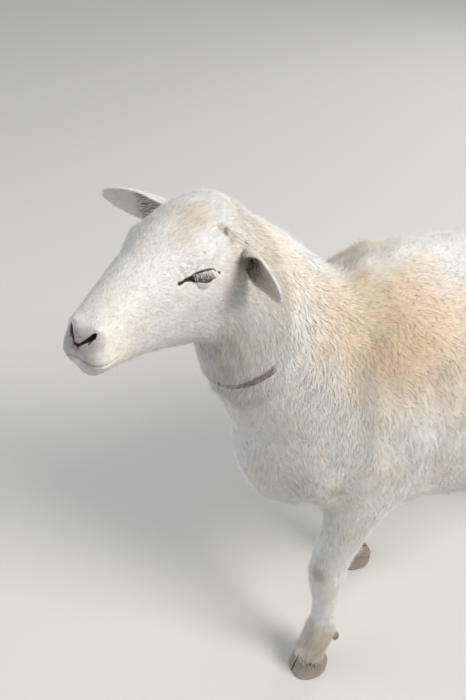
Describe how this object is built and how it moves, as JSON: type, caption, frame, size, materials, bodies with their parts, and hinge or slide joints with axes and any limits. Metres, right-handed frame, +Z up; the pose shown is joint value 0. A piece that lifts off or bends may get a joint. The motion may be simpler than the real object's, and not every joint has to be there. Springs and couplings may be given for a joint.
{
  "type": "sheep",
  "caption": "Standing white sheep with a short coat and a thin collar, head turned to its left, as a still life-size model.",
  "frame": {"origin": "centre of the bounding box at floor level, under the hooves", "axes": "+Z up, the animal faces -Y, its left side is towards +X"},
  "size_m": [0.378, 1.1666, 0.8496],
  "materials": {
    "coat": "short matt hair",
    "horn": "dull hoof horn",
    "eye": "wet and clear",
    "leather": "worn"
  },
  "bodies": {
    "root": {"claw_front_left_inner": "horn", "claw_front_left_outer": "horn", "claw_front_right_inner": "horn", "claw_front_right_outer": "horn", "claw_hind_left_inner": "horn", "claw_hind_left_outer": "horn", "claw_hind_right_inner": "horn", "claw_hind_right_outer": "horn", "collar": "leather", "dewclaw_front_left_inner": "horn", "dewclaw_front_left_outer": "horn", "dewclaw_front_right_inner": "horn", "dewclaw_front_right_outer": "horn", "dewclaw_hind_left_inner": "horn", "dewclaw_hind_left_outer": "horn", "dewclaw_hind_right_inner": "horn", "dewclaw_hind_right_outer": "horn", "ear_left": "coat", "ear_right": "coat", "eye_left": "eye", "eye_right": "eye", "head": "coat", "leg_front_left": "coat", "leg_front_right": "coat", "leg_hind_left": "coat", "leg_hind_right": "coat", "neck": "coat", "tail": "coat", "trunk": "coat"}
  },
  "joints": []
}
